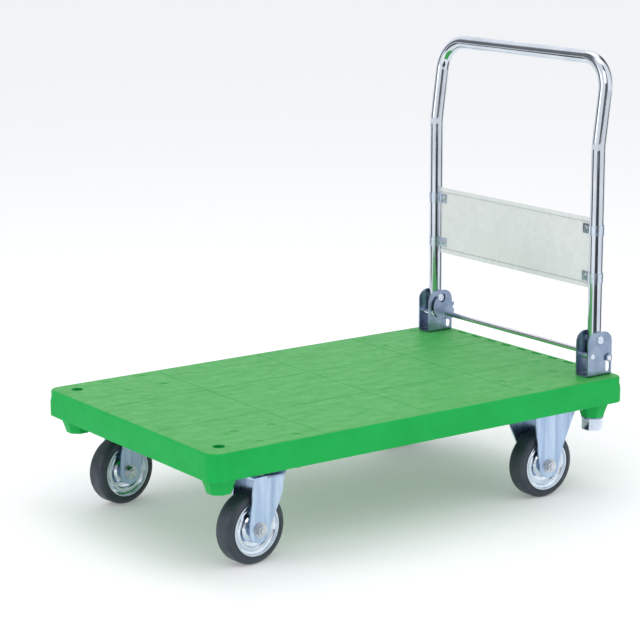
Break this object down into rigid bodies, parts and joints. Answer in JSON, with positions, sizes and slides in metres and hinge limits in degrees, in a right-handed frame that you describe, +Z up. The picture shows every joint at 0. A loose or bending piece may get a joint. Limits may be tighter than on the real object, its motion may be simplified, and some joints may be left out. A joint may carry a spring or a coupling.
{
  "type": "folding platform cart",
  "caption": "Flat platform cart with a ribbed plastic deck, swivel casters in front, rigid casters behind and a bent tube handle that folds down over the deck.",
  "frame": {"origin": "on the floor below the middle of the deck", "axes": "+X along the deck towards the handle, +Y across the deck, +Z up"},
  "size_m": [0.903, 0.553, 0.8077],
  "materials": {
    "deck_plastic": "moulded polyolefin, lightly textured",
    "chrome_tube": "bright chrome plated tube",
    "bright_rod": "bright plated rod",
    "white_sheet": "satin white coated sheet",
    "black_plastic": "moulded black plastic",
    "brass_insert": "turned brass",
    "tyre_rubber": "black rubber with a smooth tread",
    "rim_steel": "pressed and zinc plated",
    "zinc_plate": "bright zinc plated pressings",
    "spring_steel": "hardened steel",
    "fastener_steel": "zinc plated fasteners"
  },
  "bodies": {
    "chassis": {"deck": "deck_plastic", "caster_inserts": "brass_insert", "caster_bolts": "fastener_steel", "bracket_left": "zinc_plate", "bracket_right": "zinc_plate", "bracket_studs": "fastener_steel", "bracket_washers": "fastener_steel", "bracket_nuts": "fastener_steel", "pivot_pins": "fastener_steel", "stop_pins": "fastener_steel", "lock_springs": "spring_steel", "swivel_plate_left": "zinc_plate", "swivel_plate_right": "zinc_plate", "kingpin_left": "fastener_steel", "kingpin_right": "fastener_steel", "race_balls_left": "spring_steel", "race_balls_right": "spring_steel", "rigid_fork_left": "zinc_plate", "rigid_fork_right": "zinc_plate", "rear_axle_left": "fastener_steel", "rear_axle_right": "fastener_steel", "rear_axle_nut_left": "fastener_steel", "rear_axle_nut_right": "fastener_steel", "sleeve_rear_left": "fastener_steel", "sleeve_rear_right": "fastener_steel"},
    "handle": {"handle_tube": "chrome_tube", "pivot_bushes": "fastener_steel", "tube_plugs": "black_plastic", "name_panel": "white_sheet", "panel_clips": "fastener_steel", "clip_screws": "fastener_steel", "clip_nuts": "fastener_steel"},
    "lock": {"lock_rod": "bright_rod", "lock_rod_nuts": "fastener_steel", "lock_plate_left": "zinc_plate", "lock_plate_right": "zinc_plate"},
    "swivel_left": {"swivel_fork_left": "zinc_plate", "front_axle_left": "fastener_steel", "front_axle_nut_left": "fastener_steel", "sleeve_front_left": "fastener_steel"},
    "swivel_right": {"swivel_fork_right": "zinc_plate", "front_axle_right": "fastener_steel", "front_axle_nut_right": "fastener_steel", "sleeve_front_right": "fastener_steel"},
    "wheel_front_left": {"tyre_front_left": "tyre_rubber", "rim_front_left": "rim_steel", "hub_front_left": "fastener_steel"},
    "wheel_front_right": {"tyre_front_right": "tyre_rubber", "rim_front_right": "rim_steel", "hub_front_right": "fastener_steel"},
    "wheel_rear_left": {"tyre_rear_left": "tyre_rubber", "rim_rear_left": "rim_steel", "hub_rear_left": "fastener_steel"},
    "wheel_rear_right": {"tyre_rear_right": "tyre_rubber", "rim_rear_right": "rim_steel", "hub_rear_right": "fastener_steel"}
  },
  "joints": [
    {"name": "handle_fold", "type": "hinge", "parent": "chassis", "child": "handle", "pos_m": [0.41, 0, 0.285], "axis": [0, -1, 0], "range_deg": [0, 98]},
    {"name": "lock_press", "type": "slide", "parent": "chassis", "child": "lock", "axis": [0, 0, -1], "range_m": [0, 0.02], "stiffness_N_per_m": 1500, "springref_m": -0.01, "deforming": ["lock_springs"]},
    {"name": "swivel_left_turn", "type": "hinge", "parent": "chassis", "child": "swivel_left", "pos_m": [-0.303, 0.212, 0.155], "axis": [0, 0, 1], "continuous": true},
    {"name": "swivel_right_turn", "type": "hinge", "parent": "chassis", "child": "swivel_right", "pos_m": [-0.303, -0.212, 0.155], "axis": [0, 0, 1], "continuous": true},
    {"name": "wheel_front_left_spin", "type": "hinge", "parent": "swivel_left", "child": "wheel_front_left", "pos_m": [-0.33865, 0.20699, 0.0625], "axis": [-0.1392, 0.9903, 0], "continuous": true},
    {"name": "wheel_front_right_spin", "type": "hinge", "parent": "swivel_right", "child": "wheel_front_right", "pos_m": [-0.3388, -0.21576, 0.0625], "axis": [-0.1045, 0.9945, 0], "continuous": true},
    {"name": "wheel_rear_left_spin", "type": "hinge", "parent": "chassis", "child": "wheel_rear_left", "pos_m": [0.303, 0.212, 0.0625], "axis": [0, 1, 0], "continuous": true},
    {"name": "wheel_rear_right_spin", "type": "hinge", "parent": "chassis", "child": "wheel_rear_right", "pos_m": [0.303, -0.212, 0.0625], "axis": [0, 1, 0], "continuous": true}
  ]
}
